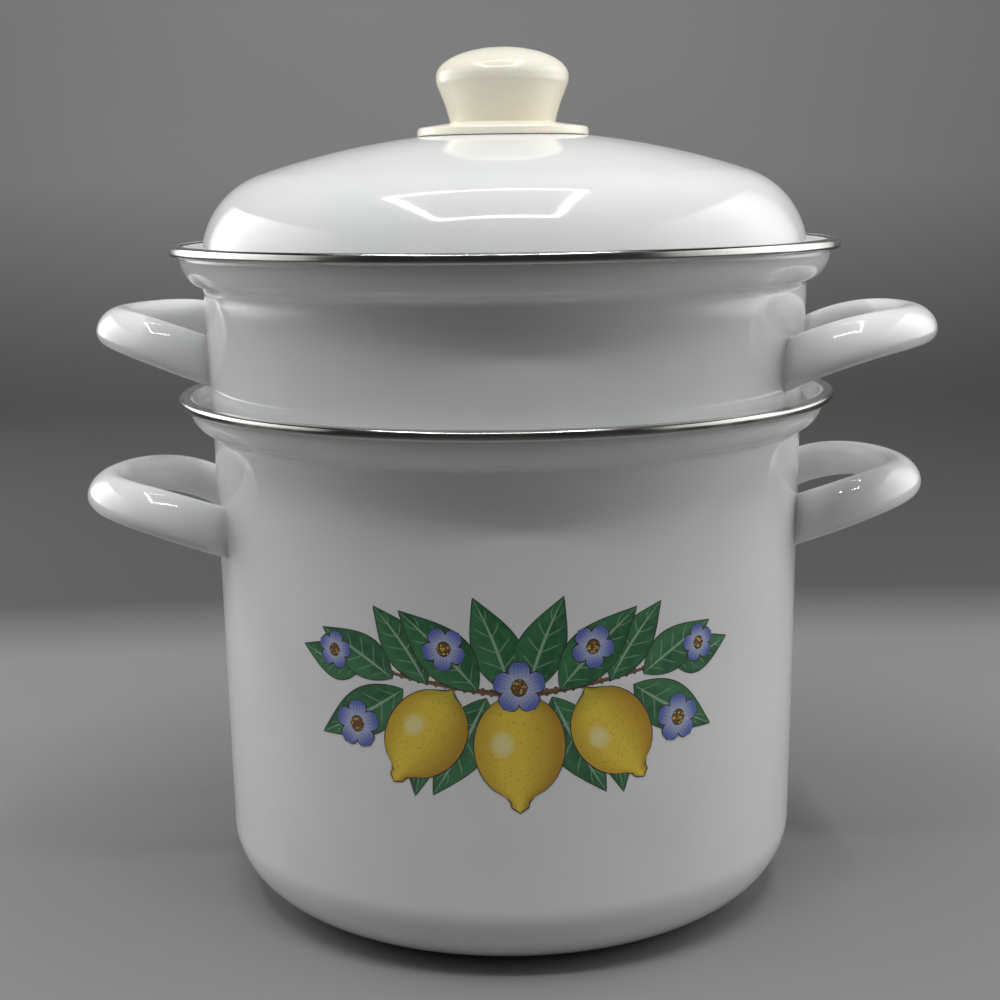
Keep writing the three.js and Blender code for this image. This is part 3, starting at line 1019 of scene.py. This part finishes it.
def soft_light(name, position, target, width, height, power, mirrored=True, matt=True):
    """A rectangular soft light that faces a point. It can be left out of reflections or of matt light."""
    light = bpy.data.lights.new(name, "AREA")
    light.shape = "RECTANGLE"
    light.size = width * MM
    light.size_y = height * MM
    light.energy = power
    lamp = bpy.data.objects.new(name, light)
    lamp.location = Vector(position) * MM
    aim = Vector(target) - Vector(position)
    lamp.rotation_euler = aim.to_track_quat("-Z", "Y").to_euler()
    lamp.visible_camera = False
    lamp.visible_glossy = mirrored
    lamp.visible_diffuse = matt
    bpy.context.scene.collection.objects.link(lamp)
    return light


def overhead_light(name, x, y, width, depth, power, **kinds):
    """A light of the overhead frame, which faces straight down."""
    soft_light(name, (x, y, FRAME_HEIGHT), (x, y, 0), width, depth, power, **kinds)


def fade_to_ends(light, peak):
    """Lets a light fade from a place along its width, given as a share, to nothing at both ends."""
    light.use_nodes = True
    tree = light.node_tree
    spot = tree.nodes.new("ShaderNodeNewGeometry").outputs["Parametric"]
    share = add(tree, "ShaderNodeSeparateXYZ", Vector=spot).outputs[0]
    rising = rescale(tree, share, 0, peak, 0, 2)
    falling = rescale(tree, share, peak, 1, 2, 0)
    feed(tree, tree.nodes["Emission"].inputs["Strength"], calculate(tree, "MINIMUM", rising, falling))


def studio_light():
    """A frame of four strips with a key light overhead, a soft panel at each side, and a lit backdrop."""
    world = bpy.data.worlds.new("studio")
    world.use_nodes = True
    world.node_tree.nodes["Background"].inputs["Color"].default_value = grey(ROOM_GREY)
    bpy.context.scene.world = world
    bpy.context.scene.view_settings.view_transform = "Standard"
    for strip in OTHER_STRIPS:
        overhead_light("strip", *strip)
    overhead_light("front_strip", *FRONT_STRIP, matt=False)
    overhead_light("key", *KEY_LIGHT, mirrored=False)
    for side, back, top, power in PANELS:
        middle, height = (PANEL_FOOT + top) / 2, top - PANEL_FOOT
        panel = soft_light("panel", (side, back, middle), (0, back, middle), PANEL_WIDTH, height, power)
        fade_to_ends(panel, PANEL_PEAK if side > 0 else 1 - PANEL_PEAK)
    size = (BACKDROP_LIGHT_WIDTH, BACKDROP_LIGHT_HEIGHT)
    soft_light("backdrop", BACKDROP_LIGHT, BACKDROP_TARGET, *size, BACKDROP_POWER)


def camera():
    lens = bpy.data.cameras.new("camera")
    lens.sensor_width = SENSOR_WIDTH
    lens.lens = SENSOR_WIDTH * FOCAL_SHARE
    lens.clip_start = 0.01
    eye = bpy.data.objects.new("camera", lens)
    place_in_view = Matrix.Translation(Vector((CAMERA_SIDE, -CAMERA_DISTANCE, CAMERA_HEIGHT)) * MM)
    tilt = Matrix.Rotation(math.pi / 2 - CAMERA_PITCH, 4, "X") @ Matrix.Rotation(CAMERA_ROLL, 4, "Z")
    eye.matrix_world = Matrix.Rotation(CAMERA_TURN, 4, "Z") @ place_in_view @ tilt
    bpy.context.scene.collection.objects.link(eye)
    bpy.context.scene.camera = eye


# Everything together

def main():
    enamel = white_enamel()
    steel = rim_steel()
    zinc = turned_metal("fixing_steel", (0.42, 0.42, 0.43, 1), (0.58, 0.58, 0.58, 1), 0.3)
    brass = turned_metal("bush_brass", (0.50, 0.36, 0.15, 1), (0.62, 0.47, 0.22, 1), 0.28)
    camera()
    pot_body(enamel)
    pot_band = rim_band("pot_band", POT_RADIUS, POT_CREASE, POT_COLLAR_RISE, steel)
    finish_piece(pot_band, "pot", "rim_steel", "pot_rim_band")
    pot_wall = straight_wall(POT_FOOT_WALL_RADIUS, POT_CORNER_HEIGHT, POT_RADIUS, POT_CREASE)
    handle_pair("pot", POT_HANDLE_HEIGHT, pot_wall, 0, enamel)
    printed_motif(pot_wall)
    insert_body(enamel)
    insert_band = rim_band("insert_band", INSERT_RADIUS, INSERT_CREASE, INSERT_COLLAR_RISE, steel)
    finish_piece(insert_band, "insert", "rim_steel", "insert_rim_band")
    insert_wall = straight_wall(INSERT_WALL_FOOT_RADIUS, STEP_HEIGHT, INSERT_RADIUS, INSERT_CREASE)
    handle_pair("insert", INSERT_HANDLE_HEIGHT, insert_wall, INSERT_TURN, enamel)
    lid_dome(enamel)
    knob(cream_plastic())
    washer(zinc)
    screw(zinc)
    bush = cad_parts["knob_thread_insert"]
    bush.data.materials.clear()
    bush.data.materials.append(brass)
    floor_and_backdrop()
    studio_light()


main()
